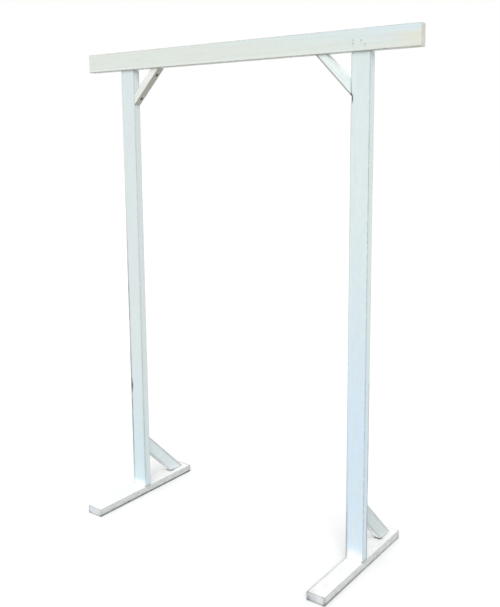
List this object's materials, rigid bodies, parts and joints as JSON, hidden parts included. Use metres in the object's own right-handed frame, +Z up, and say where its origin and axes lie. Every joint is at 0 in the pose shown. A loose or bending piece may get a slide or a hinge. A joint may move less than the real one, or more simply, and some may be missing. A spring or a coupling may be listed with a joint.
{
  "type": "free-standing wooden arch",
  "caption": "Free-standing painted wooden arch with flat timber feet, a beam on edge and short mitred corner braces, for ceremonies or climbing flowers.",
  "frame": {"origin": "on the ground, midway between the posts and at the middle of the feet's length", "axes": "+X along the beam, to the right seen from the front; +Y from front to back; +Z up"},
  "size_m": [1.864, 0.67, 2.3176],
  "materials": {
    "beam_paint": "white paint, satin, thin over softwood grain",
    "post_paint": "white paint, satin, thin over softwood grain",
    "foot_paint": "white paint, satin, scuffed at the ground",
    "brace_paint": "white paint, matt, thin on the sawn sides",
    "screw_steel": "dull zinc-plated steel"
  },
  "bodies": {
    "root": {"top_beam": "beam_paint", "left_post": "post_paint", "right_post": "post_paint", "left_foot": "foot_paint", "right_foot": "foot_paint", "left_knee_brace": "brace_paint", "right_knee_brace": "brace_paint", "left_rear_brace": "brace_paint", "right_rear_brace": "brace_paint"}
  },
  "joints": []
}
